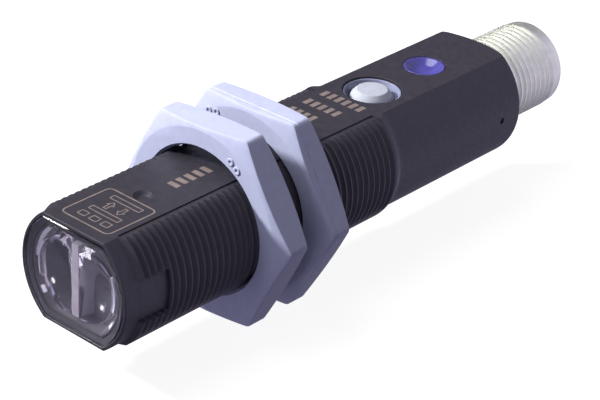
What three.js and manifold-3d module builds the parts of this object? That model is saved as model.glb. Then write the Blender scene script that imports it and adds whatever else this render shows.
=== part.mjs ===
// Tubular photoelectric sensor: an M18 x 1 threaded plastic barrel with two flats,
// a pair of half-moon lenses behind a clear front window, a teach button, a status
// indicator, an M12 x 1 plug connector and two hexagonal mounting nuts.
//
// Frame, in millimetres: the origin is the centre of the front window's outer face,
// the barrel runs along +Y away from it, and +Z points out of the flat with the button.

import * as THREE from 'three';
import { mergeVertices } from 'three/addons/utils/BufferGeometryUtils.js';
import Module from 'manifold-3d';

const wasm = await Module();
wasm.setup();

// ---------------------------------------------------------------- driving dimensions
const CLEARANCE = 0.1;                    // between pieces that are fitted together
const FACE_GAP = 0.05;                    // between pieces that sit face to face

const BARREL = { frontRadius: 8.4, rearRadius: 8.5, end: 70.6, halfFlat: 6.85, rim: 0.05 };
const M18 = { crest: 8.95, root: 8.25, pitch: 1, start: 2.8, turns: 43 };
const CAVITY = { radius: 7.1, halfFlat: 5.6, start: 1.3, end: 66.4 };
const LATCH_POCKET = { from: 2.4, to: 6.6, halfHeight: 2.5, floorRadius: 8.15 };
const DIMPLE = { radius: 1.15, depth: 0.5, y: 10.7 };
const SIDE_DIMPLE = { radius: 0.4, depth: 0.4, y: 66.6 };

const WINDOW = { radius: 7.95, halfFlat: 6.4, thickness: 0.7 };
const LENS = { radius: 4.75, centre: 1.15, split: 0.65, front: 0.8, shoulder: 3.2, back: 4.6 };
const DIVIDER = { halfThickness: 0.5, start: 0.8, end: 9, halfHeight: 4.6 };
const HOLDER = { start: 0.85, step: 5, end: 14, radius: 6.9, halfFlat: 5.4, mouth: 2.5, aperture: 1.5 };
const CHIP_OFFSET = 3.6;                  // light source and detector, either side of the divider

const FRONT_BOARD = { start: 15.4, thickness: 0.8, radius: 6.8, halfFlat: 5.3 };
const MAIN_BOARD = { start: 16.6, end: 63.6, halfWidth: 6, top: 0.5, thickness: 1 };

const BUTTON = { y: 50.2, hole: 3.75, base: 2.75, topRadius: 1.9, top: 6.95, stemEnd: 3.7, travel: 0.5 };
const SWITCH = { half: 2.2, top: 2.4, plungerRadius: 1.1, plungerEnd: 1.5 };
const INDICATOR = { y: 60.4, radius: 2.65, bottom: 4.4, dishRadius: 2.35, dishDepth: 0.65 };

const M12 = { crest: 5.9, root: 5.35, pitch: 1, turns: 10, start: 72.4 };
const SHELL = { start: 65.6, shank: 5, flange: 6.3, flangeWidth: 0.8, bore: 4.35, end: 83.2 };
const INSERT = { start: 65.8, face: 75.4 };
const PIN = { circle: 1.77, radius: 0.5, tail: 64.4, tip: 81 };

const NUT = { acrossFlats: 24, thickness: 4, bore: 9.15, face: 11.5, chamferDegrees: 16 };
const MOUNTING_NUTS = [
  { name: 'front_mounting_nut', start: 20.1, clocking: 3.4, markCorner: 60, markRadius: 10.3 },
  { name: 'rear_mounting_nut', start: 27.4, clocking: 1.1, markCorner: 120, markRadius: 11 },
];

const FINE = 32;                          // facets round large, medium and small pieces
const MEDIUM = 24;
const COARSE = 12;
const BEYOND = 1;                         // how far a cutting tool runs past what it cuts

const BLACK_PLASTIC = 0x2b2a30;
const LAVENDER = 0xb4b9e1;
const NICKEL = 0xc8c8c8;
const BOARD_GREEN = 0x1f5a3a;
const GOLD = 0xc9a44c;
const DARK_RESIN = 0x1c1c1e;
const DARK_RUBBER = 0x262628;

// ---------------------------------------------------------------- solids and booleans
// A closed three.js geometry as a manifold solid, with its shared corners merged.
function solid(geometry) {
  const bare = geometry.clone();
  for (const name of ['normal', 'uv']) bare.deleteAttribute(name);
  const merged = mergeVertices(bare, 1e-5);
  const corners = merged.index.array;
  const triangles = [];
  for (let i = 0; i < corners.length; i += 3) {
    const [a, b, c] = corners.slice(i, i + 3);
    if (a !== b && b !== c && c !== a) triangles.push(a, b, c);
  }
  const mesh = new wasm.Mesh({
    numProp: 3,
    vertProperties: new Float32Array(merged.attributes.position.array),
    triVerts: new Uint32Array(triangles),
  });
  return new wasm.Manifold(mesh);
}

function geometryOf(manifold) {
  const mesh = manifold.getMesh();
  const geometry = new THREE.BufferGeometry();
  geometry.setAttribute('position', new THREE.BufferAttribute(mesh.vertProperties, 3));
  geometry.setIndex(new THREE.BufferAttribute(mesh.triVerts, 1));
  geometry.computeVertexNormals();
  return geometry;
}

function lathe(profile, segments) {
  const points = profile.map(([radius, height]) => new THREE.Vector2(radius, height));
  return new THREE.LatheGeometry(points, segments);
}

// A piece turned about the barrel's axis, from points [radius, y] with y rising outside.
function turned(profile, segments) {
  return solid(lathe(profile, segments));
}

// A piece turned about an upright axis on the centre line, from points [radius, z].
function turnedUpright(profile, segments, y) {
  return solid(lathe(profile, segments).rotateX(Math.PI / 2).translate(0, y, 0));
}

function rod(radius, from, to, segments, x = 0, z = 0) {
  const geometry = new THREE.CylinderGeometry(radius, radius, to - from, segments);
  return solid(geometry.translate(x, (from + to) / 2, z));
}

function post(radius, bottom, top, segments, y) {
  const profile = [[0, bottom], [radius, bottom], [radius, top], [0, top]];
  return turnedUpright(profile, segments, y);
}

function block([x0, x1], [y0, y1], [z0, z1]) {
  const geometry = new THREE.BoxGeometry(x1 - x0, y1 - y0, z1 - z0);
  return solid(geometry.translate((x0 + x1) / 2, (y0 + y1) / 2, (z0 + z1) / 2));
}

function alongBarrel(shape, from, to, curveSegments) {
  const settings = { depth: to - from, bevelEnabled: false, curveSegments };
  const geometry = new THREE.ExtrudeGeometry(shape, settings);
  return solid(geometry.rotateX(Math.PI / 2).translate(0, to, 0));
}

// A round section with its top and bottom cut flat, run along the barrel.
function flatted(radius, halfFlat, from, to, segments = MEDIUM) {
  const corner = Math.asin(halfFlat / radius);
  const shape = new THREE.Shape();
  shape.absarc(0, 0, radius, -corner, corner, false);
  shape.absarc(0, 0, radius, Math.PI - corner, Math.PI + corner, false);
  return alongBarrel(shape, from, to, segments / 2);
}

function subtractAll(body, cuts) {
  return cuts.reduce((rest, cut) => rest.subtract(cut), body);
}

function degrees(angle) {
  return THREE.MathUtils.degToRad(angle);
}

// ---------------------------------------------------------------- barrel
// The outline of a thread as one ridge for each turn, in points [radius, y].
function threadOutline({ crest, root, pitch, start, turns }) {
  const points = [];
  for (let turn = 0; turn < turns; turn += 1) {
    points.push([root, start + turn * pitch]);
    points.push([crest, start + (turn + 0.5) * pitch]);
  }
  points.push([root, start + turns * pitch]);
  return points;
}

function barrelOutside() {
  const { frontRadius, rearRadius, end, halfFlat, rim } = BARREL;
  const edge = 0.3;
  const rounding = 0.9;
  const threadEnd = M18.start + M18.turns * M18.pitch;
  const round = turned([
    [0, rim], [frontRadius - edge, rim], [frontRadius, rim + edge], [frontRadius, M18.start - edge],
    ...threadOutline(M18),
    [rearRadius, threadEnd + 0.7], [rearRadius, end - rounding],
    [rearRadius - 0.3 * rounding, end - 0.3 * rounding], [rearRadius - rounding, end], [0, end],
  ], FINE);
  const reach = M18.crest + BEYOND;
  return round.intersect(block([-reach, reach], [0, end + BEYOND], [-halfFlat, halfFlat]));
}

// A shallow rectangular pocket that interrupts the first turns of thread on one side.
function latchPocket(side) {
  const { from, to, halfHeight, floorRadius } = LATCH_POCKET;
  const outer = M18.crest + BEYOND;
  const across = side > 0 ? [0, outer] : [-outer, 0];
  return block(across, [from, to], [-halfHeight, halfHeight])
    .subtract(rod(floorRadius, from - BEYOND, to + BEYOND, FINE));
}

function sideDimple() {
  const { radius, depth, y } = SIDE_DIMPLE;
  const length = BEYOND + depth;
  const middle = BARREL.rearRadius - depth + length / 2;
  const geometry = new THREE.CylinderGeometry(radius, radius, length, COARSE);
  return solid(geometry.rotateZ(Math.PI / 2).translate(middle, y, 0));
}

function barrelHousing() {
  const { end, halfFlat } = BARREL;
  const wall = [CAVITY.halfFlat - BEYOND, halfFlat + BEYOND];
  return subtractAll(barrelOutside(), [
    flatted(WINDOW.radius + CLEARANCE, WINDOW.halfFlat + CLEARANCE, -BEYOND, CAVITY.start),
    flatted(CAVITY.radius, CAVITY.halfFlat, CAVITY.start - BEYOND, CAVITY.end),
    rod(SHELL.shank + CLEARANCE, CAVITY.end - BEYOND, end + BEYOND, MEDIUM),
    post(BUTTON.hole, ...wall, MEDIUM, BUTTON.y),
    post(INDICATOR.radius + CLEARANCE, ...wall, MEDIUM, INDICATOR.y),
    post(DIMPLE.radius, halfFlat - DIMPLE.depth, halfFlat + BEYOND, COARSE, DIMPLE.y),
    sideDimple(),
    latchPocket(-1),
    latchPocket(1),
  ]);
}

// ---------------------------------------------------------------- optics
function frontWindow() {
  return flatted(WINDOW.radius, WINDOW.halfFlat, 0, WINDOW.thickness, FINE);
}

function windowSeal() {
  const from = WINDOW.thickness + FACE_GAP;
  const to = CAVITY.start - FACE_GAP;
  return flatted(WINDOW.radius - CLEARANCE, WINDOW.halfFlat - CLEARANCE, from, to)
    .subtract(flatted(CAVITY.radius, CAVITY.halfFlat, from - BEYOND, to + BEYOND));
}

// A round lens with a flat face and a domed back, cut to a half moon beside the divider.
function lensHalf(side) {
  const { radius, centre, split, front, shoulder, back } = LENS;
  const steps = 5;
  const dome = [];
  for (let step = 0; step <= steps; step += 1) {
    const share = 1 - step / steps;
    dome.push([radius * share, shoulder + (back - shoulder) * (1 - share ** 2)]);
  }
  const whole = turned([[0, front], [radius, front], ...dome], FINE).translate([side * centre, 0, 0]);
  const reach = radius + centre + BEYOND;
  const across = side > 0 ? [split, reach] : [-reach, -split];
  return whole.intersect(block(across, [0, back + BEYOND], [-radius, radius]));
}

function opticalDivider() {
  const { halfThickness, start, end, halfHeight } = DIVIDER;
  return block([-halfThickness, halfThickness], [start, end], [-halfHeight, halfHeight]);
}

// The moulding that holds the lenses, with a funnel to each side of a slot for the divider.
function opticsHolder() {
  const { start, step, end, radius, halfFlat, mouth, aperture } = HOLDER;
  const slot = DIVIDER.halfThickness + CLEARANCE;
  const seat = rod(LENS.radius + CLEARANCE, start - BEYOND, step, FINE);
  const funnel = turned([
    [0, step - BEYOND], [mouth, step - BEYOND], [mouth, step], [aperture, end - 1.6],
    [aperture, end + BEYOND], [0, end + BEYOND],
  ], MEDIUM);
  return subtractAll(flatted(radius, halfFlat, start, end), [
    seat.translate([-LENS.centre, 0, 0]),
    seat.translate([LENS.centre, 0, 0]),
    funnel.translate([-CHIP_OFFSET, 0, 0]),
    funnel.translate([CHIP_OFFSET, 0, 0]),
    block([-slot, slot], [start - BEYOND, DIVIDER.end + CLEARANCE], [-LENS.radius, LENS.radius]),
  ]);
}

// ---------------------------------------------------------------- electronics
function frontBoard() {
  const { start, thickness, radius, halfFlat } = FRONT_BOARD;
  return flatted(radius, halfFlat, start, start + thickness);
}

// A square chip package on the front board, with a round lens on its face.
function domedChip(x, halfSize, depth, domeRadius) {
  const back = FRONT_BOARD.start - FACE_GAP;
  const front = back - depth;
  const dome = new THREE.SphereGeometry(domeRadius, COARSE, 8).translate(x, front, 0);
  return block([x - halfSize, x + halfSize], [front, back], [-halfSize, halfSize]).add(solid(dome));
}

function photodiodeShield() {
  const x = CHIP_OFFSET;
  const half = 2;
  const sheet = 0.3;
  const back = FRONT_BOARD.start - FACE_GAP;
  const front = back - 1.2;
  const inside = half - sheet;
  return subtractAll(block([x - half, x + half], [front, back], [-half, half]), [
    block([x - inside, x + inside], [front + sheet, back + BEYOND], [-inside, inside]),
    rod(1.35, front - BEYOND, back, COARSE, x),
  ]);
}

function mainBoard() {
  const { start, end, halfWidth, top, thickness } = MAIN_BOARD;
  return block([-halfWidth, halfWidth], [start, end], [top - thickness, top]);
}

function boardPart(x, y, halfWidth, halfLength, height) {
  const base = MAIN_BOARD.top + FACE_GAP;
  return block([x - halfWidth, x + halfWidth], [y - halfLength, y + halfLength], [base, base + height]);
}

// ---------------------------------------------------------------- controls
function tactileSwitch() {
  const { half, top, plungerRadius, plungerEnd } = SWITCH;
  const height = top - MAIN_BOARD.top - FACE_GAP;
  const room = plungerEnd - BUTTON.travel - CLEARANCE;
  return boardPart(0, BUTTON.y, half, half, height)
    .subtract(post(plungerRadius + CLEARANCE, room, top + BEYOND, MEDIUM, BUTTON.y));
}

function switchPlunger() {
  const { plungerRadius, plungerEnd } = SWITCH;
  return post(plungerRadius, plungerEnd, BUTTON.stemEnd - CLEARANCE, MEDIUM, BUTTON.y);
}

// A soft ring that fills the hole round the button and dips towards it.
function buttonDiaphragm() {
  const outer = BUTTON.hole - CLEARANCE;
  const inner = 2.2;
  const bottom = 4.7;
  return turnedUpright([
    [inner, bottom], [outer, bottom], [outer, 6.6], [outer - 0.35, 6.6], [3, 5.2],
    [inner, 5], [inner, bottom],
  ], MEDIUM, BUTTON.y);
}

function teachButton() {
  const { y, base, topRadius, top, stemEnd } = BUTTON;
  const stem = 0.9;
  const neck = 1.9;
  return turnedUpright([
    [0, stemEnd], [stem, stemEnd], [stem, 4.6], [neck, 4.6], [neck, 5.75], [base, 5.9],
    [base - 0.1, 6.2], [topRadius + 0.15, top - 0.08], [topRadius, top], [0, top],
  ], MEDIUM, y);
}

// A dished lens, flush with the flat of the barrel.
function indicatorLens() {
  const { y, radius, bottom, dishRadius, dishDepth } = INDICATOR;
  const top = BARREL.halfFlat - FACE_GAP;
  const steps = 5;
  const dish = [];
  for (let step = 0; step <= steps; step += 1) {
    const share = 1 - step / steps;
    dish.push([dishRadius * share, top - dishDepth * (1 - share ** 2)]);
  }
  return turnedUpright([[0, bottom], [radius, bottom], [radius, top], ...dish], MEDIUM, y);
}

// ---------------------------------------------------------------- connector
const FLANGE_START = BARREL.end + CLEARANCE;
const FLANGE_END = FLANGE_START + SHELL.flangeWidth;

function connectorShell() {
  const { start, shank, flange, bore, end } = SHELL;
  const outside = turned([
    [0, start], [shank, start], [shank, FLANGE_START], [flange, FLANGE_START],
    [flange, FLANGE_END], [M12.root, FLANGE_END], ...threadOutline(M12), [M12.root, end], [0, end],
  ], MEDIUM);
  return outside.subtract(rod(bore, start - BEYOND, end + BEYOND, MEDIUM));
}

function connectorSeal() {
  const from = FLANGE_END + FACE_GAP;
  const inner = M12.root + CLEARANCE;
  const outer = M12.crest + CLEARANCE;
  return turned([
    [inner, from], [outer, from], [outer, from + 0.5], [inner, from + 0.5], [inner, from],
  ], MEDIUM);
}

function pinPlaces() {
  const angles = [45, 135, 225, 315].map(degrees);
  return angles.map((angle) => [PIN.circle * Math.cos(angle), PIN.circle * Math.sin(angle)]);
}

// The insulator that holds the pins, with the coding key that keeps a plug from turning.
function connectorInsert() {
  const { start, face } = INSERT;
  const radius = SHELL.bore - FACE_GAP;
  const key = block([-0.6, 0.6], [face - BEYOND, SHELL.end - 0.6], [radius - 0.85, radius - 0.12]);
  const holes = pinPlaces().map(([x, z]) => (
    rod(PIN.radius + FACE_GAP, start - BEYOND, SHELL.end, COARSE, x, z)));
  return subtractAll(rod(radius, start, face, MEDIUM).add(key), holes);
}

function contactPin([x, z]) {
  const { radius, tail, tip } = PIN;
  const profile = [[0, tail], [radius, tail], [radius, tip - 0.4], [radius * 0.55, tip], [0, tip]];
  return turned(profile, COARSE).translate([x, 0, z]);
}

// ---------------------------------------------------------------- mounting nuts
function hexagon(cornerRadius, clocking) {
  const shape = new THREE.Shape();
  for (let corner = 0; corner < 6; corner += 1) {
    const angle = degrees(60 * corner + clocking);
    const point = [cornerRadius * Math.cos(angle), cornerRadius * Math.sin(angle)];
    if (corner === 0) shape.moveTo(...point);
    else shape.lineTo(...point);
  }
  return shape;
}

// A hexagonal nut with its corners chamfered and its bore just clear of the thread crests.
function mountingNut({ start, clocking, markCorner, markRadius }) {
  const { acrossFlats, thickness, bore, face, chamferDegrees } = NUT;
  const end = start + thickness;
  const corner = acrossFlats / Math.sqrt(3);
  const outer = corner + BEYOND;
  const drop = (outer - face) * Math.tan(degrees(chamferDegrees));
  const lead = 0.3;
  const envelope = turned([
    [bore + lead, start], [face, start], [outer, start + drop], [outer, end - drop], [face, end],
    [bore + lead, end], [bore, end - lead], [bore, start + lead], [bore + lead, start],
  ], 2 * MEDIUM);
  const angle = degrees(markCorner + clocking);
  const mark = rod(0.35, start - BEYOND, start + 0.2, COARSE,
    markRadius * Math.cos(angle), markRadius * Math.sin(angle));
  return alongBarrel(hexagon(corner, clocking), start - BEYOND, end + BEYOND, 1)
    .intersect(envelope)
    .subtract(mark);
}

// ---------------------------------------------------------------- assembly
const group = new THREE.Group();

function add(name, manifold, color, roughness, metalness = 0, opacity = 1) {
  const look = { color, roughness, metalness, opacity, transparent: opacity < 1 };
  const mesh = new THREE.Mesh(geometryOf(manifold), new THREE.MeshStandardMaterial(look));
  mesh.name = name;
  group.add(mesh);
}

add('barrel_housing', barrelHousing(), BLACK_PLASTIC, 0.5);
add('front_window', frontWindow(), 0x9a98a0, 0.05, 0, 0.35);
add('window_seal', windowSeal(), DARK_RUBBER, 0.9);
add('emitter_lens', lensHalf(-1), 0x8a8890, 0.05, 0, 0.5);
add('receiver_lens', lensHalf(1), 0x8a8890, 0.05, 0, 0.5);
add('optical_divider', opticalDivider(), 0x6c6970, 0.6);
add('optics_holder', opticsHolder(), 0x3a383e, 0.6);

add('front_circuit_board', frontBoard(), BOARD_GREEN, 0.5);
add('emitter_led', domedChip(-CHIP_OFFSET, 1.2, 0.9, 0.8), 0xe6dcc8, 0.2);
add('receiver_photodiode', domedChip(CHIP_OFFSET, 1.1, 0.75, 0.6), DARK_RESIN, 0.2);
add('photodiode_shield', photodiodeShield(), NICKEL, 0.35, 1);
add('main_circuit_board', mainBoard(), BOARD_GREEN, 0.5);
add('signal_processor', boardPart(0, 25, 2.5, 2.5, 1), DARK_RESIN, 0.5);
add('amplifier_chip', boardPart(0, 34, 2, 2.5, 1.2), DARK_RESIN, 0.5);
add('output_transistor', boardPart(-3.2, 41.5, 1.5, 1.5, 1.4), DARK_RESIN, 0.5);
add('filter_capacitor', boardPart(3.4, 41.5, 1.2, 1.8, 2), GOLD, 0.5);
add('protection_diode', boardPart(0, 41.5, 1, 1.8, 1.1), DARK_RESIN, 0.5);

add('tactile_switch', tactileSwitch(), 0x303035, 0.4);
add('switch_plunger', switchPlunger(), 0x8c2f2a, 0.5);
add('button_diaphragm', buttonDiaphragm(), LAVENDER, 0.4);
add('teach_button', teachButton(), 0xc4c8d6, 0.45);
add('status_led', boardPart(0, INDICATOR.y, 0.9, 0.9, 0.85), 0xf0ead0, 0.3);
add('light_guide', post(1.5, 1.5, INDICATOR.bottom - CLEARANCE, MEDIUM, INDICATOR.y),
  0xe8e8f4, 0.1, 0, 0.5);
add('indicator_lens', indicatorLens(), 0x6a60b8, 0.2);

add('connector_shell', connectorShell(), NICKEL, 0.3, 1);
add('connector_seal', connectorSeal(), DARK_RUBBER, 0.8);
add('connector_insert', connectorInsert(), 0x202022, 0.6);
pinPlaces().forEach((place, index) => {
  add(`contact_pin_${index + 1}`, contactPin(place), GOLD, 0.3, 1);
});

for (const nut of MOUNTING_NUTS) add(nut.name, mountingNut(nut), LAVENDER, 0.45);

export default group;
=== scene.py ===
# The looks of an M18 photoelectric sensor: fine meshes and materials over its CAD frame.
#
# Shapes are worked out in millimetres and scaled to metres when a piece is finished.
# The barrel runs along +Y from the front window at the origin, and +Z points out of the
# flat that carries the button and the indicator.

from math import acos, asin, cos, degrees, hypot, pi, radians, sin, tan

import bmesh
import bpy
from mathutils import Matrix, Vector


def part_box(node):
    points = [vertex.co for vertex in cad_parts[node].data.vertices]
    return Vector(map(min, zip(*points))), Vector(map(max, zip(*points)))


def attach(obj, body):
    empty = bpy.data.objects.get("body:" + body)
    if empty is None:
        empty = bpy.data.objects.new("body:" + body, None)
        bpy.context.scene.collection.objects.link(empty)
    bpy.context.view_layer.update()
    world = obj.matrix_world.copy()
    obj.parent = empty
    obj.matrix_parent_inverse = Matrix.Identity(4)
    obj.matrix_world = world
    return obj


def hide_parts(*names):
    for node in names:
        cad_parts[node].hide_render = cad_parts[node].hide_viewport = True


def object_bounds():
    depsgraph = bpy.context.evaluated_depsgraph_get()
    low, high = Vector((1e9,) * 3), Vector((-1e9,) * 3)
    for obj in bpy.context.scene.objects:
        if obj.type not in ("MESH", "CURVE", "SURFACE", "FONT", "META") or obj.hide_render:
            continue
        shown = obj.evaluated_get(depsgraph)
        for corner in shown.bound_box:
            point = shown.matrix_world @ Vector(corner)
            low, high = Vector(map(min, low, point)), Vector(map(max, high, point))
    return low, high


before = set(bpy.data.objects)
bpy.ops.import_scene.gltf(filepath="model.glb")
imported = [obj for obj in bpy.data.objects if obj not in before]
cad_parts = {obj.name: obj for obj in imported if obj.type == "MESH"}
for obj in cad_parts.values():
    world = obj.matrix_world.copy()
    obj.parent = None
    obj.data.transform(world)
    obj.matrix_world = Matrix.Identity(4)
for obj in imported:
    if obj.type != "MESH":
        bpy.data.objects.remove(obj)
cad_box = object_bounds()

MM = 0.001


class Span:
    """The box of a CAD node at rest, in millimetres."""

    def __init__(self, node):
        self.low, self.high = (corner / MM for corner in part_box(node))
        self.middle = (self.low + self.high) / 2
        self.radius = (self.high.x - self.low.x) / 2


BARREL = Span("barrel_housing")
WINDOW = Span("front_window")
HOLDER = Span("optics_holder")
BUTTON = Span("teach_button")
DIAPHRAGM = Span("button_diaphragm")
INDICATOR = Span("indicator_lens")
SHELL = Span("connector_shell")
INSERT = Span("connector_insert")

CREST = BARREL.radius                     # tips of the M18 thread
FLAT = BARREL.high.z                      # height of the two flats over the axis
GAP = 0.08                                # clearance round the pieces set into the barrel


# ---------------------------------------------------------------- camera
# A perspective fit to the photo, with the sensor's standard sizes assumed, gave these.
CAMERA_TARGET = Vector((-1.18, 39.03, -5.05))
CAMERA_DISTANCE = 265.97
CAMERA_AZIMUTH = radians(40.62)
CAMERA_ELEVATION = radians(29.11)
CAMERA_ROLL = radians(3.15)
CAMERA_LENS = 129.35


def add_camera():
    data = bpy.data.cameras.new("camera")
    data.lens = CAMERA_LENS
    data.sensor_width = 36
    data.clip_start = 0.01
    camera = bpy.data.objects.new("camera", data)
    back = Vector((
        sin(CAMERA_AZIMUTH) * cos(CAMERA_ELEVATION),
        -cos(CAMERA_AZIMUTH) * cos(CAMERA_ELEVATION),
        sin(CAMERA_ELEVATION),
    ))
    facing = (-back).to_track_quat("-Z", "Y").to_matrix() @ Matrix.Rotation(CAMERA_ROLL, 3, "Z")
    place = (CAMERA_TARGET + back * CAMERA_DISTANCE) * MM
    camera.matrix_world = Matrix.Translation(place) @ facing.to_4x4()
    bpy.context.scene.collection.objects.link(camera)
    bpy.context.scene.camera = camera


add_camera()


# ---------------------------------------------------------------- outlines
def rounded(points, steps=5, closed=False):
    """The outline through points (a, b) or (a, b, setback), with an arc at each setback."""
    outline = []
    count = len(points)
    for index, point in enumerate(points):
        corner = Vector(point[:2])
        is_end = not closed and index in (0, count - 1)
        if len(point) < 3 or is_end:
            outline.append(tuple(corner))
            continue
        before = Vector(points[index - 1][:2])
        after = Vector(points[(index + 1) % count][:2])
        start = corner + (before - corner).normalized() * point[2]
        end = corner + (after - corner).normalized() * point[2]
        for step in range(steps + 1):
            t = step / steps
            arc = start * (1 - t) ** 2 + corner * 2 * t * (1 - t) + end * t ** 2
            outline.append(tuple(arc))
    return outline


def flatted_outline(radius, half_flat):
    """A round section in the XZ plane with its top and bottom cut flat."""
    steps = 32
    corner = asin(half_flat / radius)
    sweep = [corner * (2 * step / steps - 1) for step in range(steps + 1)]
    right = [(radius * cos(angle), radius * sin(angle)) for angle in sweep]
    left = [(-x, -z) for x, z in right]
    return right + left


def arc_points(radius, centre, start, end, steps=12):
    """Points (a, b) on an arc about centre, from start to end degrees."""
    angles = [radians(start + (end - start) * step / steps) for step in range(steps + 1)]
    return [(centre[0] + radius * cos(a), centre[1] + radius * sin(a)) for a in angles]


# ---------------------------------------------------------------- meshes
def welded(points, faces, name="shape"):
    """An object from points in millimetres, with doubled points joined and faces outward."""
    mesh = bpy.data.meshes.new(name)
    mesh.from_pydata(points, [], faces)
    work = bmesh.new()
    work.from_mesh(mesh)
    bmesh.ops.remove_doubles(work, verts=work.verts, dist=1e-4)
    bmesh.ops.recalc_face_normals(work, faces=work.faces)
    if work.calc_volume(signed=True) < 0:
        bmesh.ops.reverse_faces(work, faces=work.faces)
    work.to_mesh(mesh)
    work.free()
    shape = bpy.data.objects.new(name, mesh)
    bpy.context.scene.collection.objects.link(shape)
    return shape


def skin(rings, close_rings=False, close_columns=False):
    """Faces between rings of equally many points."""
    columns = len(rings[0])
    points = [point for ring in rings for point in ring]
    pairs = [(row, row + 1) for row in range(len(rings) - 1)]
    if close_rings:
        pairs.append((len(rings) - 1, 0))
    reach = columns if close_columns else columns - 1
    faces = []
    for row, after in pairs:
        for column in range(reach):
            beside = (column + 1) % columns
            faces.append((
                row * columns + column, row * columns + beside,
                after * columns + beside, after * columns + column,
            ))
    return welded(points, faces)


def turn_angles(columns):
    """A whole turn in equal steps, with the first angle again at its end."""
    return [2 * pi * column / columns for column in range(columns + 1)]


def ring_about_y(radius, y, columns):
    return [(radius * cos(a), y, radius * sin(a)) for a in turn_angles(columns)]


def turned(profile, columns=96, x=0.0, z=0.0):
    """A piece turned about the barrel's direction, from points (radius, y)."""
    rings = [ring_about_y(radius, y, columns) for radius, y in profile]
    return skin([[(px + x, py, pz + z) for px, py, pz in ring] for ring in rings])


def turned_upright(profile, y, columns=96):
    """A piece turned about an upright axis over the centre line, from points (radius, z)."""
    rings = []
    for radius, z in profile:
        rings.append([(radius * cos(a), y + radius * sin(a), z) for a in turn_angles(columns)])
    return skin(rings)


def plate(outline_at, start, end, bevel):
    """A plate across the barrel: outline_at(inset) gives its outline, drawn in by inset."""
    levels = [(bevel, start), (0, start + bevel), (0, end - bevel), (bevel, end)]
    rings = [[(x, y, z) for x, z in outline_at(inset)] for inset, y in levels]
    centre_start = [(0, start, 0)] * len(rings[0])
    centre_end = [(0, end, 0)] * len(rings[0])
    return skin([centre_start, *rings, centre_end], close_columns=True)


def box(low, high):
    """A cutter with square corners."""
    (x0, y0, z0), (x1, y1, z1) = low, high
    rings = []
    for y in (y0, y1):
        rings.append([(x0, y, z0), (x1, y, z0), (x1, y, z1), (x0, y, z1)])
    middle = [((x0 + x1) / 2, y, (z0 + z1) / 2) for y in (y0, y1)]
    return skin([[middle[0]] * 4, *rings, [middle[1]] * 4], close_columns=True)


def side_prism(outline, half_width):
    """An outline of points (y, z), run across the barrel along X."""
    return capped([[(x, y, z) for y, z in outline] for x in (-half_width, half_width)])


def capped(rings):
    """A prism between two outlines of equally many points."""
    points = rings[0] + rings[1]
    count = len(rings[0])
    faces = [tuple(range(count)), tuple(range(2 * count - 1, count - 1, -1))]
    for index in range(count):
        beside = (index + 1) % count
        faces.append((index, beside, beside + count, index + count))
    return welded(points, faces)


def apply_modifiers(shape):
    """Gives a shape the mesh that its modifiers make of it."""
    graph = bpy.context.evaluated_depsgraph_get()
    mesh = bpy.data.meshes.new_from_object(shape.evaluated_get(graph))
    shape.modifiers.clear()
    shape.data = mesh


def carve(shape, cutters, operation="DIFFERENCE"):
    """Cuts the cutters out of a shape, or joins or crosses them with it, and uses them up."""
    for cutter in cutters:
        modifier = shape.modifiers.new("carve", "BOOLEAN")
        modifier.operation = operation
        modifier.solver = "MANIFOLD"
        modifier.object = cutter
    apply_modifiers(shape)
    for cutter in cutters:
        bpy.data.objects.remove(cutter)
    return shape


def join(shapes):
    """Several shapes gathered into the first one's mesh."""
    base = shapes[0]
    work = bmesh.new()
    for shape in shapes:
        work.from_mesh(shape.data)
    work.to_mesh(base.data)
    work.free()
    for shape in shapes[1:]:
        bpy.data.objects.remove(shape)
    return base


# ---------------------------------------------------------------- threads
# One ridge of a moulded thread: share of a turn, and share of the groove's depth.
RIDGE = [(0.0, 1.0), (0.1, 0.96), (0.34, 0.1), (0.42, 0.0), (0.58, 0.0), (0.66, 0.1), (0.9, 0.96)]
PITCH = 1.0                               # of both threads, M18 x 1 and M12 x 1


def thread_rings(start, turns, columns, radius_at):
    """Rings of a right-hand thread. radius_at(angle, ridge) gives the surface there."""
    end = start + turns * PITCH
    rings = []
    for turn in range(turns + 2):
        for share, ridge in RIDGE:
            ring = []
            for angle in turn_angles(columns):
                y = start + PITCH * (turn + share - angle / (2 * pi))
                inside = start < y < end
                y = min(max(y, start), end)
                radius = radius_at(angle, ridge if inside else 1.0)
                ring.append((radius * cos(angle), y, radius * sin(angle)))
            rings.append(ring)
    return rings


def smooth_step(value, low, high):
    """0 at low and 1 at high, with a soft start and end between them."""
    t = min(max((value - low) / (high - low), 0), 1)
    return t * t * (3 - 2 * t)


# ---------------------------------------------------------------- materials
NOISE_RANGE = (0.3, 0.7)                  # most of a noise texture's values lie between these


def linear(red, green, blue):
    """A colour given in the usual 0 to 255 display values."""
    def channel(value):
        value /= 255
        return value / 12.92 if value <= 0.04045 else ((value + 0.055) / 1.055) ** 2.4
    return (channel(red), channel(green), channel(blue), 1)


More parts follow.
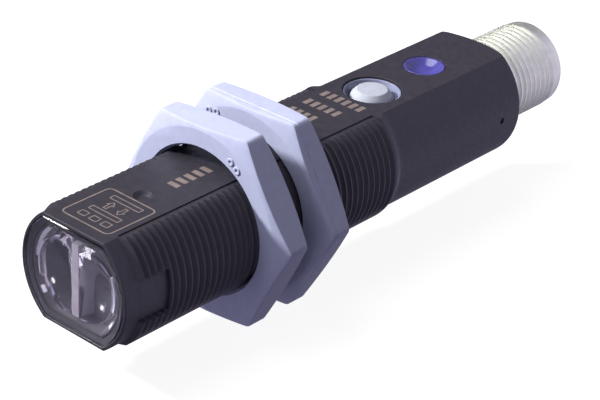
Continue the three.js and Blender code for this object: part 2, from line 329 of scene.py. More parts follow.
class Surface:
    """A Principled material whose colour, roughness and relief all vary over the surface.

    patch and grain are how fine the colour and the relief are, per metre, and relief is its
    height in metres. Any other value goes to the shader's socket of that name.
    """

    def __init__(self, name, tones, roughness, patch=900, grain=6000, relief=2e-6, **sockets):
        self.material = bpy.data.materials.new(name)
        self.material.use_nodes = True
        self.nodes = self.material.node_tree.nodes
        self.links = self.material.node_tree.links
        self.shader = self.nodes["Principled BSDF"]
        self.place = self.nodes.new("ShaderNodeTexCoord").outputs["Object"]
        self.vary_colour(self.noise(patch, 4), *tones)
        self.vary_roughness(self.noise(patch * 2.5, 3), *roughness)
        self.add_relief(self.noise(grain, 2), relief)
        for socket, value in sockets.items():
            self.shader.inputs[socket.replace("_", " ")].default_value = value

    def noise(self, scale, detail):
        noise = self.nodes.new("ShaderNodeTexNoise")
        noise.inputs["Scale"].default_value = scale
        noise.inputs["Detail"].default_value = detail
        self.links.new(self.place, noise.inputs["Vector"])
        return noise.outputs["Fac"]

    def vary_colour(self, factor, low, high):
        ramp = self.nodes.new("ShaderNodeValToRGB")
        stops = zip(ramp.color_ramp.elements, NOISE_RANGE, (low, high))
        for stop, position, tone in stops:
            stop.position = position
            stop.color = tone
        self.links.new(factor, ramp.inputs["Fac"])
        self.links.new(ramp.outputs["Color"], self.shader.inputs["Base Color"])

    def vary_roughness(self, factor, low, high):
        spread = self.nodes.new("ShaderNodeMapRange")
        spread.inputs["From Min"].default_value = NOISE_RANGE[0]
        spread.inputs["From Max"].default_value = NOISE_RANGE[1]
        spread.inputs["To Min"].default_value = low
        spread.inputs["To Max"].default_value = high
        self.links.new(factor, spread.inputs["Value"])
        self.links.new(spread.outputs["Result"], self.shader.inputs["Roughness"])

    def add_relief(self, height, distance):
        bump = self.nodes.new("ShaderNodeBump")
        bump.inputs["Distance"].default_value = distance
        self.links.new(height, bump.inputs["Height"])
        self.links.new(bump.outputs["Normal"], self.shader.inputs["Normal"])


def plastic(name, dark, light, roughness, **more):
    """A material from two display colours and the two ends of its roughness."""
    return Surface(name, (linear(*dark), linear(*light)), roughness, **more).material


HOUSING_PLASTIC = plastic(
    "housing_plastic", (33, 31, 37), (40, 38, 44), (0.42, 0.56), relief=4e-6,
    Specular_IOR_Level=0.4)
NUT_PLASTIC = plastic("nut_plastic", (150, 154, 176), (156, 160, 182), (0.38, 0.5), relief=3e-6)
CONTROL_PLASTIC = plastic("control_plastic", (104, 108, 130), (112, 116, 138), (0.3, 0.4))
BUTTON_PLASTIC = plastic("button_plastic", (140, 143, 152), (148, 151, 160), (0.5, 0.62))
INDICATOR_PLASTIC = plastic(
    "indicator_plastic", (56, 52, 114), (64, 60, 126), (0.12, 0.2), relief=0.5e-6)
MARKING_INK = plastic("marking_ink", (92, 82, 78), (106, 95, 90), (0.5, 0.65))
NICKEL = Surface(
    "nickel_plate", (linear(203, 205, 190), linear(215, 217, 202)), (0.48, 0.58),
    relief=1e-6, Metallic=1).material
GOLD = Surface(
    "gold_plate", (linear(196, 158, 70), linear(214, 176, 88)), (0.2, 0.3), Metallic=1).material
INSERT_PLASTIC = plastic("insert_plastic", (26, 26, 28), (34, 34, 36), (0.45, 0.6))
SEAL_RUBBER = plastic("seal_rubber", (28, 28, 30), (36, 36, 38), (0.7, 0.85))
OPTICS_PLASTIC = plastic("optics_plastic", (30, 28, 32), (38, 36, 40), (0.5, 0.65))
BOARD_LAMINATE = plastic("board_laminate", (24, 82, 52), (34, 98, 62), (0.35, 0.5))
CHIP_RESIN = plastic("chip_resin", (24, 24, 26), (32, 32, 34), (0.5, 0.65))
LED_RESIN = plastic("led_resin", (226, 216, 190), (238, 230, 208), (0.15, 0.25))
CAPACITOR_BODY = plastic("capacitor_body", (176, 140, 70), (192, 156, 84), (0.4, 0.55))
PLUNGER_PLASTIC = plastic("plunger_plastic", (140, 46, 40), (152, 56, 48), (0.4, 0.55))
SWITCH_PLASTIC = plastic("switch_plastic", (38, 38, 42), (48, 48, 52), (0.35, 0.5))
# Pale opaque plastic for the window clips: painted glint, standing in for the streaks of light in
# the clear window's edge.
PAINTED_GLINT_PALE = plastic("painted_glint_pale", (160, 158, 166), (188, 186, 194), (0.15, 0.25), patch=2500)
DIVIDER_PLASTIC = plastic("divider_plastic", (112, 107, 114), (124, 119, 126), (0.4, 0.55))
WINDOW_CLEAR = Surface(
    "window_clear", (linear(222, 220, 226), linear(230, 228, 234)), (0.02, 0.04),
    relief=0.2e-6, Transmission_Weight=1, IOR=1.49).material
LENS_CLEAR = Surface(
    "lens_clear", (linear(206, 204, 212), linear(216, 214, 222)), (0.02, 0.05),
    relief=0.2e-6, Transmission_Weight=1, IOR=1.53).material


# ---------------------------------------------------------------- finished pieces
def finish(shape, name, material, slot, body, *replaced, sharp=32):
    """Scales a shape to metres, shades and names it, and ties it to its CAD body."""
    shape.name = name
    shape.data.transform(Matrix.Scale(MM, 4))
    shape.data.materials.clear()
    shape.data.materials.append(material)
    shape.data.shade_smooth()
    shape.data.set_sharp_from_angle(angle=radians(sharp))
    flat_normals = shape.modifiers.new("flat_normals", "WEIGHTED_NORMAL")
    flat_normals.weight = 100
    flat_normals.keep_sharp = True
    apply_modifiers(shape)
    shape.data.name = name
    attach(shape, body)
    if replaced:
        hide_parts(*replaced)


# ---------------------------------------------------------------- barrel
THREAD_START = 2.8
THREAD_TURNS = 42
THREAD_END = THREAD_START + THREAD_TURNS * PITCH
THREAD_ROOT = 8.44
SHOULDER_X = 4.56                         # edge of the top flat beside the thread
FRONT_RING = 8.4                          # radius of the plain ring in front of the thread
REAR_RADIUS = 8.5                         # radius of the plain stretch behind the thread
REAR_BULGE = 0.7                          # the rear end swells this far round the connector
REAR_RECESS = 6.5                         # radius of the recess the connector's flange sits in
POCKET = (2.3, 6.6)                       # where the latch pockets start and end
POCKET_HALF = 2.5                         # half the height of a latch pocket
CAVITY_END = 66.4                         # end of the room inside for the circuit boards
DIMPLE_Y = 10.7                           # the round dimple between the printed marks
SIDE_HOLE_Y = 66.6                        # the small round hole in the side
FADE_FROM = sin(radians(20))              # the grooves fade out towards the underside
FADE_TO = sin(radians(38))


def barrel_radius(angle, ridge):
    fade = smooth_step(-sin(angle), FADE_FROM, FADE_TO)
    return CREST - (CREST - THREAD_ROOT) * (1 - ridge) * (1 - fade)


def barrel_blank():
    columns = 180
    front = BARREL.low.y
    end = BARREL.high.y
    nose = rounded([
        (0, front), (FRONT_RING, front, 0.25), (FRONT_RING, THREAD_START - 0.5, 0.1),
        (CREST, THREAD_START - 0.05),
    ])
    slope_steps = 6
    slope_start = THREAD_END + 0.3
    slope_length = 1.2
    shoulder = [
        (REAR_RADIUS + (CREST - REAR_RADIUS) * (1 - smooth_step(step, 0, slope_steps)),
         slope_start + slope_length * step / slope_steps)
        for step in range(slope_steps + 1)
    ]
    tail = rounded([
        (REAR_RADIUS, THREAD_END + 2), (REAR_RADIUS, end - 0.15, 0.5),
        (REAR_RECESS + 0.3, end + REAR_BULGE, 0.2), (REAR_RECESS, end + REAR_BULGE),
        (REAR_RECESS, end), (0, end),
    ], steps=10)
    return skin([
        *[ring_about_y(radius, y, columns) for radius, y in nose],
        *thread_rings(THREAD_START, THREAD_TURNS, columns, barrel_radius),
        *[ring_about_y(radius, y, columns) for radius, y in shoulder + tail],
    ])


def flats_envelope():
    """The room between the two flats, rounded at the barrel's front."""
    front = BARREL.low.y
    end = BARREL.high.y + REAR_BULGE + 1
    edge = 0.22
    return side_prism(rounded([
        (front, -FLAT, edge), (end, -FLAT), (end, FLAT), (front, FLAT, edge),
    ], closed=True), CREST + 1)


def round_hole(span):
    """A cutter for a control's round hole in the top flat, with a rounded rim."""
    radius = span.radius + GAP
    floor = 5
    rim = 0.1
    return turned_upright(rounded([
        (0, floor), (radius, floor), (radius, FLAT, rim), (radius + 2, FLAT + 0.01),
        (radius + 2, FLAT + 1), (0, FLAT + 1),
    ]), span.middle.y)


def dimple():
    """A cutter for the shallow cone between the printed marks."""
    floor = FLAT - 0.45
    floor_radius = 0.75
    radius = 1.15
    return turned_upright(rounded([
        (0, floor), (floor_radius, floor, 0.1), (radius, FLAT), (radius, FLAT + 0.5),
        (0, FLAT + 0.5),
    ]), DIMPLE_Y)


def curved_bar(profile, side, low, high):
    """Four points (radius, y), swept on one side from low to high radians above the middle."""
    steps = 24
    rings = []
    for step in range(steps + 1):
        angle = low + (high - low) * step / steps
        rings.append([(side * r * cos(angle), y, r * sin(angle)) for r, y in profile])
    middle = [[tuple(sum(axis) / 4 for axis in zip(*ring))] * 4 for ring in (rings[0], rings[-1])]
    return skin([middle[0], *rings, middle[1]], close_columns=True)


def sector(side, inner, outer, start, end, sweep):
    """A curved block between two radii, sweep radians up and down from the side."""
    profile = [(inner, start), (inner, end), (outer, end), (outer, start)]
    return curved_bar(profile, side, -sweep, sweep)


def add_latch_pockets(barrel):
    """A shallow pocket on each side, level with the front ring, across the first turns."""
    start, end = POCKET
    floor = FRONT_RING - 0.02
    backing = 7.7
    sweep = asin(POCKET_HALF / floor)
    for side in (-1, 1):
        carve(barrel, [sector(side, floor, CREST + 1, start, end, sweep)])
        carve(barrel, [sector(side, backing, floor, start - 0.2, end + 0.1, sweep)], "UNION")


def ridge_shoulders():
    """Cutters that round the ridges off beside the top flat, and leave it a low step."""
    step = 0.15
    fillet = 1.6
    across = ((CREST - fillet) ** 2 - (FLAT - step - fillet) ** 2) ** 0.5
    centre = (across, FLAT - step - fillet)
    turn = degrees(acos(centre[0] / (CREST - fillet)))
    curve = arc_points(fillet, centre, 90, turn)
    reach = 6
    far = (centre[0] + reach * cos(radians(turn)), centre[1] + reach * sin(radians(turn)))
    outline = [(SHOULDER_X, FLAT + 1), (SHOULDER_X, FLAT - step), *curve, far, (far[0], FLAT + 1)]
    cutters = []
    ends = (THREAD_START - 0.35, THREAD_END)
    for side in (-1, 1):
        cutters.append(capped([[(side * x, y, z) for x, z in outline] for y in ends]))
    return cutters


def side_hole():
    """A cutter for the small blind hole in the side, near the rear end."""
    depth = 0.35
    radius = 0.4
    shape = turned(rounded([
        (0, 0), (radius, 0, 0.15), (radius, depth + 1), (0, depth + 1)]), columns=32)
    shape.data.transform(Matrix.Rotation(radians(-90), 4, "Z"))
    shape.data.transform(Matrix.Translation((REAR_RADIUS - depth, SIDE_HOLE_Y, 0)))
    return shape


def hollows():
    """Cutters for the window's seat, the room for the boards, and the connector's bore."""
    seat_radius = WINDOW.radius + GAP
    seat_half = WINDOW.high.z + GAP
    room_radius = 7.1
    room_half = 5.6
    bore = 5.1
    bore_start = CAVITY_END - 1.4
    bore_end = 72
    return [
        plate(lambda inset: flatted_outline(seat_radius - inset, seat_half - inset),
              -1, WINDOW.high.y + 0.6, 0.02),
        plate(lambda inset: flatted_outline(room_radius - inset, room_half - inset),
              0.5, CAVITY_END, 0.02),
        turned([(0, bore_start), (bore, bore_start), (bore, bore_end), (0, bore_end)]),
    ]


def make_barrel():
    barrel = carve(barrel_blank(), [flats_envelope()], "INTERSECT")
    add_latch_pockets(barrel)
    carve(barrel, [
        *hollows(), side_hole(), *ridge_shoulders(), round_hole(DIAPHRAGM),
        round_hole(INDICATOR), dimple(),
    ])
    finish(barrel, "threaded_barrel", HOUSING_PLASTIC, "housing_plastic", "sensor_body",
           "barrel_housing")


make_barrel()


# ---------------------------------------------------------------- optics
def make_window():
    window = plate(
        lambda inset: flatted_outline(WINDOW.radius - inset, WINDOW.high.z - inset),
        WINDOW.low.y, WINDOW.high.y, 0.12)
    finish(window, "clear_window", WINDOW_CLEAR, "window_clear", "sensor_body", "front_window")
    window.visible_shadow = False


LENS_AXIS = 3.93                          # optical axis of each lens, off the centre line
LENS_CURVE = 10.3                         # radius of the domed back
LENS_DEPTH = 2.4                          # thickness on the axis
LENS_REACH = 6.2                          # the dome runs this far out from the axis
DOME_STEPS = 24
FACET = (-0.06, -0.7, 0.71)               # which way the cut at the top of a lens faces
FACET_HALF_WIDTH = 2.15
FACET_X = 0.4                             # where the cut's middle is, off the centre line
FACET_DROP = 1.2                          # and how far under the lens's top


def make_lens(node, side):
    """A flat-fronted lens with a domed back, its outline a half moon beside the divider."""
    lens = Span(node)
    radius = lens.high.z
    centre = max(abs(lens.low.x), abs(lens.high.x)) - radius
    split = min(abs(lens.low.x), abs(lens.high.x))
    front = lens.low.y
    apex = front + LENS_DEPTH
    rim = asin(LENS_REACH / LENS_CURVE)
    slopes = [rim * (1 - step / DOME_STEPS) for step in range(DOME_STEPS + 1)]
    dome = [(LENS_CURVE * sin(a), apex - LENS_CURVE * (1 - cos(a))) for a in slopes]
    lens_body = turned([(0, front), (dome[0][0], front), *dome], columns=128, x=LENS_AXIS)
    wall = turned(rounded([
        (0, front), (radius, front, 0.08), (radius, apex + 1), (0, apex + 1)]), x=centre)
    far = radius + 3
    carve(lens_body, [wall, box((split, front - 1, -far), (far, apex + 2, far))], "INTERSECT")
    if side < 0:
        lens_body.data.transform(Matrix.Rotation(pi, 4, "Y"))
    facet = box((-FACET_HALF_WIDTH, -3, 0), (FACET_HALF_WIDTH, 3, 3))
    facing = Vector((side * FACET[0], *FACET[1:])).to_track_quat("Z", "Y").to_matrix().to_4x4()
    place = Matrix.Translation((side * FACET_X, front, radius - FACET_DROP))
    facet.data.transform(place @ facing)
    carve(lens_body, [facet])
    finish(lens_body, f"{node}_half_moon", LENS_CLEAR, "lens_clear", "sensor_body", node)
    lens_body.visible_shadow = False
    return lens_body


# Inner radius, outer radius, and the degrees above the middle where each clip starts and ends. The
# spans put the clips' painted glint where the clear edge shows streaks of light.
CLIPS = [(6.35, 6.85, 3, 47), (5.9, 6.15, -16, 26), (6.3, 6.65, -37, -29)]
CLIP_FRONT = 0.92
CLIP_BACK = 1.9
CLIP_SLOPE = tan(radians(30))


def make_window_clips():
    """Pale opaque clips behind the window's edge, three to a side, with sloping fronts. Their pale
    colour is painted glint, standing in for streaks of light in the clear edge.
    """
    clips = []
    for side in (-1, 1):
        for inner, outer, low, high in CLIPS:
            inner_front = CLIP_FRONT + (outer - inner) * CLIP_SLOPE
            section = [
                (inner, inner_front), (outer, CLIP_FRONT), (outer, CLIP_BACK), (inner, CLIP_BACK)]
            clips.append(curved_bar(section, side, radians(low), radians(high)))
    finish(join(clips), "window_clips", PAINTED_GLINT_PALE, "window_clear", "sensor_body")


def make_holder():
    """A dark moulding with a shallow tapered mouth, a round seat for each lens, and funnels."""
    start = HOLDER.low.y
    end = HOLDER.high.y
    radius = HOLDER.radius
    half_flat = HOLDER.high.z
    lens = Span("receiver_lens")
    lens_radius = lens.high.z + GAP
    lens_centre = lens.high.x - lens.high.z
    mouth_floor = 2.4
    seat_floor = 5.0
    funnel_x = 3.6
    funnel_mouth = 2.5
    aperture = 1.5
    aperture_length = 1.6
    slot_half = 0.6
    slot_end = 9.1
    body = plate(lambda inset: flatted_outline(radius - inset, half_flat - inset), start, end, 0.03)
    wide = flatted_outline(radius + 0.3, half_flat + 0.3)
    narrow = flatted_outline(radius - 0.9, lens_radius)
    cuts = [skin([
        [(0, start - 1, 0)] * len(wide),
        [(x, start - 1, z) for x, z in wide],
        [(x, mouth_floor, z) for x, z in narrow],
        [(0, mouth_floor, 0)] * len(narrow),
    ], close_columns=True)]
    for side in (-1, 1):
        cuts.append(turned(
            [(0, start - 1), (lens_radius, start - 1), (lens_radius, seat_floor), (0, seat_floor)],
            x=side * lens_centre))
        cuts.append(turned([
            (0, seat_floor - 1), (funnel_mouth, seat_floor - 1), (funnel_mouth, seat_floor),
            (aperture, end - aperture_length), (aperture, end + 1), (0, end + 1),
        ], columns=48, x=side * funnel_x))
    cuts.append(box((-slot_half, start - 1, -lens_radius), (slot_half, slot_end, lens_radius)))
    finish(carve(body, cuts), "lens_holder", OPTICS_PLASTIC, "optics_plastic", "sensor_body",
           "optics_holder")


make_window()
LENSES = [make_lens("emitter_lens", -1), make_lens("receiver_lens", 1)]
make_holder()
make_window_clips()


# ---------------------------------------------------------------- controls
def make_button():
    radius = BUTTON.radius
    top = BUTTON.high.z
    stem_end = BUTTON.low.z
    stem = 0.9
    neck = 1.9
    neck_base = 4.6
    skirt = 5.7
    top_radius = 1.95
    cap = turned_upright(rounded([
        (0, stem_end), (stem, stem_end, 0.1), (stem, neck_base, 0.1), (neck, neck_base, 0.1),
        (neck, skirt, 0.1), (radius, skirt + 0.15, 0.12), (radius - 0.12, skirt + 0.55, 0.3),
        (top_radius, top, 0.14), (0, top),
    ]), BUTTON.middle.y)
    finish(cap, "teach_button_cap", BUTTON_PLASTIC, "button_plastic", "button", "teach_button")


def make_diaphragm():
    outer = DIAPHRAGM.radius
    low = DIAPHRAGM.low.z
    rim = DIAPHRAGM.high.z
    rim_width = 0.22
    wall_foot = outer - 0.75
    inner = 2.2
    inner_top = 5.05
    ring = turned_upright(rounded([
        (inner, low), (outer, low), (outer, rim, 0.08), (outer - rim_width, rim, 0.1),
        (wall_foot, inner_top + 0.2, 0.4), (inner, inner_top), (inner, low),
    ]), BUTTON.middle.y)
    finish(ring, "diaphragm_ring", CONTROL_PLASTIC, "control_plastic", "sensor_body",
           "button_diaphragm")


def make_indicator():
    radius = INDICATOR.radius
    top = INDICATOR.high.z
    bottom = INDICATOR.low.z
    dish_radius = radius - 0.2
    dish_floor = top - 0.75
    floor_radius = 1.15
    lens = turned_upright(rounded([
        (0, bottom), (radius, bottom), (radius, top, 0.08), (dish_radius, top, 0.08),
        (floor_radius, dish_floor, 0.6), (0, dish_floor - 0.08),
    ], steps=10), INDICATOR.middle.y)
    finish(lens, "status_window", INDICATOR_PLASTIC, "indicator_plastic", "sensor_body",
           "indicator_lens")


make_button()
make_diaphragm()
make_indicator()


# ---------------------------------------------------------------- connector
CONTACTS = range(1, 5)                    # the numbers of the four contacts
SOCKET_DEPTH = 7.2                        # from the coding key's tip down to the insert's face


def make_shell():
    columns = 144
    crest = 5.9
    root = 5.35
    shank = 5.0
    bore = 4.35
    start = SHELL.low.y
    end = SHELL.high.y
    flange_start = BARREL.high.y + 0.1
    flange_end = flange_start + 0.8
    thread_start = 72.4
    turns = 9
    collar = thread_start + turns * PITCH
    base = rounded([
        (bore, start), (shank, start), (shank, flange_start), (SHELL.radius, flange_start, 0.12),
        (SHELL.radius, flange_end, 0.12), (root, flange_end, 0.1), (root, thread_start - 0.3),
        (crest, thread_start - 0.02),
    ])
    nose = rounded([
        (crest - 0.12, collar + 0.2), (crest - 0.12, end, 0.3), (bore + 0.25, end, 0.08),
        (bore, end - 0.35, 0.1), (bore, start),
    ])
    shell = skin([
        *[ring_about_y(radius, y, columns) for radius, y in base],
        *thread_rings(thread_start, turns, columns,
                      lambda angle, ridge: root + (crest - root) * ridge),
        *[ring_about_y(radius, y, columns) for radius, y in nose],
    ])
    finish(shell, "threaded_shell", NICKEL, "nickel_plate", "sensor_body", "connector_shell")


def make_insert():
    start = INSERT.low.y
    end = INSERT.high.y
    radius = INSERT.radius
    face = end - SOCKET_DEPTH
    key_half = 0.6
    well = 0.55
    body = turned(rounded([(0, start), (radius, start, 0.1), (radius, face, 0.15), (0, face)]))
    key = box((-key_half, face - 1, radius - 0.85), (key_half, end, radius - 0.12))
    carve(body, [key], "UNION")
    wells = []
    for pin in CONTACTS:
        place = Span(f"contact_pin_{pin}").middle
        wells.append(turned([
            (0, start - 1), (well, start - 1), (well, face + 1), (0, face + 1),
        ], columns=32, x=place.x, z=place.z))
    finish(carve(body, wells), "keyed_insert", INSERT_PLASTIC, "insert_plastic", "sensor_body",
           "connector_insert")


def make_pins():
    for pin in CONTACTS:
        node = f"contact_pin_{pin}"
        pin_span = Span(node)
        radius = pin_span.radius
        tail = pin_span.low.y
        tip = pin_span.high.y
        shape = turned(rounded([
            (0, tail), (radius, tail, 0.1), (radius, tip, 0.42), (0, tip),
        ]), columns=40, x=pin_span.middle.x, z=pin_span.middle.z)
        finish(shape, f"round_pin_{pin}", GOLD, "gold_plate", "sensor_body", node)


make_shell()
make_insert()
make_pins()


# ---------------------------------------------------------------- mounting nuts
NUT_FACE = 11.5                           # radius where the chamfer starts
NUT_CHAMFER = tan(radians(16))
NUT_BORE = 9.12
NUT_GROOVE = 0.3                          # depth of the thread in the bore
NUT_EDGE = 0.16                           # rounding of the nut's outer edges
NUT_CORNER = 0.45                         # rounding of the hexagon's corners
ACROSS_FLATS = 24.0


def nut_outline(clocking):
    """The rounded hexagon as points (x, z), evenly spaced along its sides."""
    corner = ACROSS_FLATS / 3 ** 0.5
    spacing = 0.55
    corners = []
    for index in range(6):
        angle = radians(60 * index + clocking)
        corners.append((corner * cos(angle), corner * sin(angle), NUT_CORNER))
    outline = rounded(corners, closed=True)
    points = []
    for index, (x, z) in enumerate(outline):
        next_x, next_z = outline[(index + 1) % len(outline)]
        pieces = max(1, round(hypot(next_x - x, next_z - z) / spacing))
        for piece in range(pieces):
            t = piece / pieces
            points.append((x + (next_x - x) * t, z + (next_z - z) * t))
    return points


def nut_rings(clocking, start, end, seam):
    """Rings from the bore's front edge, over the outside, to the bore's rear edge."""
    outline = [Vector(point) for point in nut_outline(clocking)]

    def circle(radius, depth):
        return [(*(point.normalized() * radius), depth) for point in outline]

    def side(inset, drop):
        """Just inside the hexagon, and drop behind the chamfer's own level there."""
        ring = []
        for point in outline:
            radius = point.length - inset
            level = NUT_CHAMFER * max(radius - NUT_FACE, 0)
            ring.append((*(point.normalized() * radius), level + drop))
        return ring

    def chamfer(share):
        """On the chamfer, share of the way out from the flat face to the edge."""
        ring = []
        for point in outline:
            radius = NUT_FACE + (point.length - NUT_EDGE - NUT_FACE) * share
            ring.append((*(point.normalized() * radius), NUT_CHAMFER * (radius - NUT_FACE)))
        return ring

    face = [
        circle(NUT_BORE + NUT_GROOVE, 0), circle(10.4, 0), circle(NUT_FACE - 0.08, 0),
        chamfer(0.06), chamfer(0.35), chamfer(0.7), chamfer(1),
        side(NUT_EDGE * 0.3, NUT_EDGE * 0.25), side(0, NUT_EDGE),
    ]
    front = [[(x, start + depth, z) for x, z, depth in ring] for ring in face]
    back = [[(x, end - depth, z) for x, z, depth in ring] for ring in reversed(face)]
    groove = []
    if seam:
        depth = 0.09
        for inset, offset in ((0, -0.1), (depth, -0.03), (depth, 0.03), (0, 0.1)):
            line = [point.normalized() * (point.length - inset) for point in outline]
            groove.append([(x, start + (seam + offset), z) for x, z in line])
    bore = []
    turns = int(end - start - 0.6)
    for turn in range(turns, 0, -1):
        for share, ridge in reversed(RIDGE):
            y = start + turn + share - 0.5
            bore.append([(x, y, z) for x, z, _ in circle(NUT_BORE + NUT_GROOVE * (1 - ridge), 0)])
    return [*front, *groove, *back, *bore]


def nut_marks(places, start):
    """Small raised rings on the front face, in place of the real nut's marks."""
    outside = 0.5
    inside = 0.2
    root = start + 0.3
    top = start - 0.13
    hollow = start + 0.06
    marks = []
    for x, z in places:
        marks.append(turned(rounded([
            (0, root), (outside + 0.02, root), (outside, top, 0.1), (inside, top, 0.1),
            (inside - 0.04, hollow), (0, hollow),
        ]), columns=28, x=x, z=z))
    return marks


def make_nut(name, node, body, clocking, seam, mark_places):
    """A nut turned by clocking degrees. Its mould line runs seam behind its front, if not 0."""
    nut = Span(node)
    shape = skin(nut_rings(clocking, nut.low.y, nut.high.y, seam), close_rings=True,
                 close_columns=True)
    carve(shape, nut_marks(mark_places, nut.low.y), "UNION")
    finish(shape, name, NUT_PLASTIC, "nut_plastic", body, node, sharp=22)


make_nut("front_hex_nut", "front_mounting_nut", "front_nut", clocking=3.4, seam=0,
         mark_places=[(4.44, 9.36), (5.46, 8.64)])
make_nut("rear_hex_nut", "rear_mounting_nut", "rear_nut", clocking=1.1, seam=1.25,
         mark_places=[(-6.1, 9.54), (-4.86, 9.76)])


# ---------------------------------------------------------------- printed marks
INK_HEIGHT = 0.015
SIGN_LINE = 0.15                          # width of the sign's thinner lines
SIGN_Y = 5.5                              # middle of the framed sign


def stroke(path, width, closed=False):
    """A thin raised line of ink on the top flat, through points (x, y)."""
    points = [Vector(point) for point in path]
    count = len(points)
    sides = []
    for index, point in enumerate(points):
        before = points[index - 1] if index or closed else None
        after = points[(index + 1) % count] if index < count - 1 or closed else None
        runs = []
        if before is not None:
            runs.append((point - before).normalized())
        if after is not None:
            runs.append((after - point).normalized())
        along = sum(runs, Vector((0, 0))).normalized()
        across = Vector((-along.y, along.x))
        reach = width / 2 / max(across.dot(Vector((-runs[0].y, runs[0].x))), 0.3)
        sides.append((point + across * reach, point - across * reach))
    low = FLAT - 0.01
    high = FLAT + INK_HEIGHT
    rings = [
        [(a.x, a.y, low), (a.x, a.y, high), (b.x, b.y, high), (b.x, b.y, low)] for a, b in sides]
    if not closed:
        for ring in (rings[0], rings[-1]):
            middle = tuple(sum(axis) / 4 for axis in zip(*ring))
            rings.insert(0 if ring is rings[0] else len(rings), [middle] * 4)
    return skin(rings, close_rings=closed, close_columns=True)


def bar(x, y, width, length):
    """A plain bar of ink with its middle at (x, y)."""
    return stroke([(x, y - length / 2), (x, y + length / 2)], width)


def outline_box(x, y, width, length, corner, line=SIGN_LINE):
    """A rectangle drawn in ink with rounded corners, its middle at (x, y)."""
    half_x = width / 2
    half_y = length / 2
    corners = [(-half_x, -half_y), (half_x, -half_y), (half_x, half_y), (-half_x, half_y)]
    path = rounded([(x + dx, y + dy, corner) for dx, dy in corners], closed=True)
    return stroke(path, line, closed=True)


def arrow(x, y, heading):
    """An outlined arrow along the barrel, pointing forwards or back from its middle."""
    shape = [(0.22, -0.75), (0.22, 0.15), (0.5, 0.15), (0, 0.8), (-0.5, 0.15), (-0.22, 0.15),
             (-0.22, -0.75)]
    return stroke([(x + dx, y + dy * heading) for dx, dy in shape], SIGN_LINE, closed=True)


def pictogram():
    """A framed sign: two plates facing each other, light going to and fro, and three squares."""
    frame_side = 7.5
    frame_line = 0.2
    arrows_y = SIGN_Y + 0.85
    squares_y = SIGN_Y - 2.3
    strokes = [outline_box(0, SIGN_Y, frame_side, frame_side, 0.8, frame_line)]
    strokes += [outline_box(0.2, y, 4.6, 0.75, 0.12) for y in (SIGN_Y + 2.5, SIGN_Y - 0.75)]
    strokes += [arrow(-0.8, arrows_y, 1), arrow(1.2, arrows_y, -1)]
    strokes += [outline_box(x, squares_y, 1.1, 0.9, 0.12) for x in (-1.6, 0.2, 2.0)]
    return strokes


def mark_rows():
    """Rows of plain bars where the real one carries words and a code."""
    word_x, word_y, word_step = 0.6, 15, 1.3
    strokes = [bar(word_x, word_y + word_step * index, 1.6, 0.75) for index in range(5)]
    code_x, code_step = -3.2, 1.15
    code_y, row_step = 45, 3.1
    for row in range(3):
        for index in range(6 - row):
            strokes.append(bar(code_x + code_step * index, code_y - row_step * row, 0.7, 1.5))
    return strokes


finish(join(pictogram()), "printed_sign", MARKING_INK, "marking_ink", "sensor_body")
finish(join(mark_rows()), "printed_bars", MARKING_INK, "marking_ink", "sensor_body")


# ---------------------------------------------------------------- carried-over CAD nodes
KEPT_NODES = {
    DIVIDER_PLASTIC: ["optical_divider"],
    SEAL_RUBBER: ["window_seal", "connector_seal"],
    BOARD_LAMINATE: ["front_circuit_board", "main_circuit_board"],
    CHIP_RESIN: ["receiver_photodiode", "signal_processor", "amplifier_chip",
                 "output_transistor", "protection_diode"],
    LED_RESIN: ["emitter_led", "status_led"],
    NICKEL: ["photodiode_shield"],
    CAPACITOR_BODY: ["filter_capacitor"],
    SWITCH_PLASTIC: ["tactile_switch"],
    PLUNGER_PLASTIC: ["switch_plunger"],
    LENS_CLEAR: ["light_guide"],
}

for material, names in KEPT_NODES.items():
    for node_name in names:
        node_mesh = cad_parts[node_name].data
        node_mesh.materials.clear()
        node_mesh.materials.append(material)


# ---------------------------------------------------------------- floor, world and lights
def add_floor():
    """A white floor that catches a faint shadow and throws no light back on the object."""
    level = cad_box[0][2] / MM
    half = 900
    corners = [(-half, -half), (half, -half), (half, half), (-half, half)]
    floor = welded([(x, y, level) for x, y in corners], [(0, 1, 2, 3)], "floor")
    floor.data.transform(Matrix.Scale(MM, 4))
    paper = Surface("paper", (linear(110, 110, 110), linear(114, 114, 114)), (0.8, 0.9), patch=20,
                    grain=400, relief=1e-6, Emission_Color=(1, 1, 1, 1), Emission_Strength=0.91)
    floor.data.materials.append(paper.material)
    floor.visible_diffuse = False
    floor.visible_glossy = False
    floor.visible_transmission = False
    floor.visible_shadow = False


LAMP_DISTANCE = 600


def add_light(name, direction, size, power):
    """A round lamp in that direction from the barrel's middle, facing it."""
    data = bpy.data.lights.new(name, "AREA")
    data.shape = "DISK"
    data.size = size * MM
    data.energy = power
    light = bpy.data.objects.new(name, data)
    away = Vector(direction).normalized()
    place = BARREL.middle + away * LAMP_DISTANCE
    facing = away.to_track_quat("Z", "Y").to_matrix().to_4x4()
    light.matrix_world = Matrix.Translation(place * MM) @ facing
    bpy.context.scene.collection.objects.link(light)
    return light


STUDIO_TINT = (0.95, 0.89, 1.25, 1)       # for the violet cast on the photo's dark plastic
BRIGHT_SIDE = (-0.5, -0.75, -0.2)         # most of the soft light comes from here
NEAR_SIDE = (0.9, 0, -0.4)                # mirrored, the room is bright on this side
UP = (0, 0, 1)


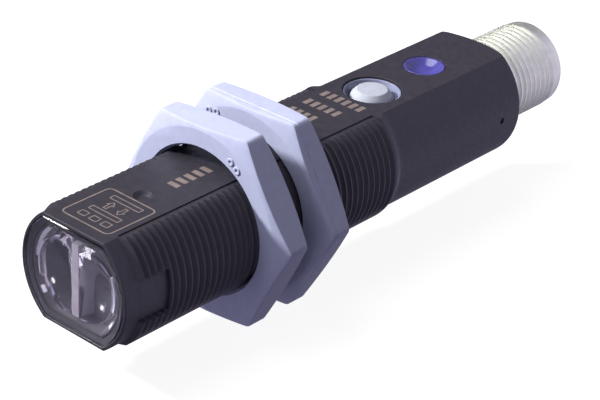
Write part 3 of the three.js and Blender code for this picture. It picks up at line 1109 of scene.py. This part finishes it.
def add_world():
    """Soft light, brighter from one side. Mirrored, the room is dim far off and below."""
    world = bpy.data.worlds.new("studio")
    world.use_nodes = True
    nodes = world.node_tree.nodes
    links = world.node_tree.links
    direction = nodes.new("ShaderNodeTexCoord").outputs["Generated"]

    def gradient(axis, start, end, start_value, end_value):
        towards = nodes.new("ShaderNodeVectorMath")
        towards.operation = "DOT_PRODUCT"
        towards.inputs[1].default_value = Vector(axis).normalized()
        links.new(direction, towards.inputs[0])
        spread = nodes.new("ShaderNodeMapRange")
        spread.interpolation_type = "SMOOTHSTEP"
        spread.inputs["From Min"].default_value = start
        spread.inputs["From Max"].default_value = end
        spread.inputs["To Min"].default_value = start_value
        spread.inputs["To Max"].default_value = end_value
        links.new(towards.outputs["Value"], spread.inputs["Value"])
        return spread.outputs["Result"]

    soft_light = gradient(BRIGHT_SIDE, -0.2, 0.9, 0.12, 0.5)
    over_floor = gradient(UP, -0.85, -0.35, 0.2, 1)
    across = gradient(NEAR_SIDE, -0.6, 0.1, 0.2, 1)
    mirrored = nodes.new("ShaderNodeMath")
    mirrored.operation = "MULTIPLY"
    links.new(over_floor, mirrored.inputs[0])
    links.new(across, mirrored.inputs[1])
    light_path = nodes.new("ShaderNodeLightPath")
    choice = nodes.new("ShaderNodeMix")
    links.new(light_path.outputs["Is Glossy Ray"], choice.inputs["Factor"])
    links.new(soft_light, choice.inputs["A"])
    links.new(mirrored.outputs["Value"], choice.inputs["B"])
    background = nodes["Background"]
    background.inputs["Color"].default_value = STUDIO_TINT
    links.new(choice.outputs["Result"], background.inputs["Strength"])
    backdrop = nodes.new("ShaderNodeBackground")
    backdrop.inputs["Color"].default_value = (1, 1, 1, 1)
    seen = nodes.new("ShaderNodeMixShader")
    links.new(light_path.outputs["Is Camera Ray"], seen.inputs["Fac"])
    links.new(background.outputs["Background"], seen.inputs[1])
    links.new(backdrop.outputs["Background"], seen.inputs[2])
    links.new(seen.outputs["Shader"], nodes["World Output"].inputs["Surface"])
    bpy.context.scene.world = world


def add_lens_glint(name, direction, size, power):
    """A small lamp that only the two lenses mirror."""
    lamp = add_light(name, direction, size, power)
    lamp.visible_diffuse = False
    receivers = bpy.data.collections.new(name)
    for lens in LENSES:
        receivers.objects.link(lens)
    lamp.light_linking.receiver_collection = receivers


KEY_SIDE = (-0.66, -0.46, 0.5)
OVERHEAD_SIDE = (-0.4, -0.2, 0.88)
FRONT_SIDE = (-0.28, -0.94, 0.09)

add_floor()
add_world()
# The key light is two lamps in one place: one lights the pieces and the other is mirrored.
add_light("key", KEY_SIDE, size=80, power=9).visible_glossy = False
add_light("key_gloss", KEY_SIDE, size=120, power=1).visible_diffuse = False
add_light("overhead", OVERHEAD_SIDE, size=500, power=3.6)
add_lens_glint("upper_glint", KEY_SIDE, size=80, power=8)
add_lens_glint("lower_glint", FRONT_SIDE, size=60, power=30)
bpy.context.scene.view_settings.view_transform = "Standard"
